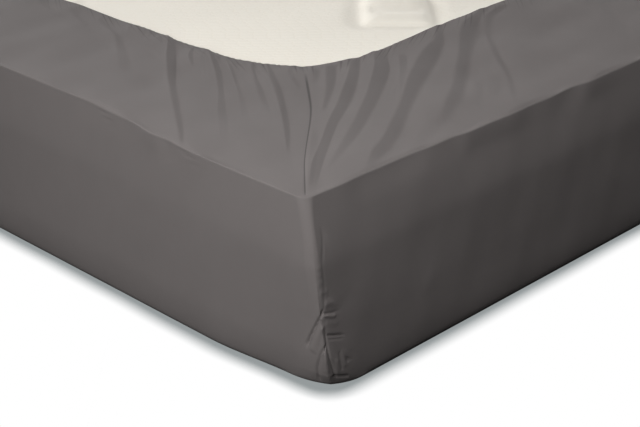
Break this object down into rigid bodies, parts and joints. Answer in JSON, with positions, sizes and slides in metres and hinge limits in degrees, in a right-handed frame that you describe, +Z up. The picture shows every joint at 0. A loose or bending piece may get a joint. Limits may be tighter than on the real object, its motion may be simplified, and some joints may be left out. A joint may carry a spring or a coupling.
{
  "type": "fitted sheet on a mattress",
  "caption": "Fitted bed sheet with a gathered elastic hem, drawn over a mattress that lies face down; the hem turns in over the edges and leaves the ticking open.",
  "frame": {"origin": "middle of the footprint, on the surface that the sheet's panel rests on", "axes": "+X across the mattress, +Y along it, +Z up towards the hem and the open ticking"},
  "size_m": [1.4, 2, 0.2],
  "materials": {
    "sheet_cloth": "smooth fine cotton, dark warm grey, matt",
    "ticking": "cream knitted ticking, softly quilted"
  },
  "bodies": {
    "root": {"fitted_sheet": "sheet_cloth", "mattress": "ticking"}
  },
  "joints": []
}
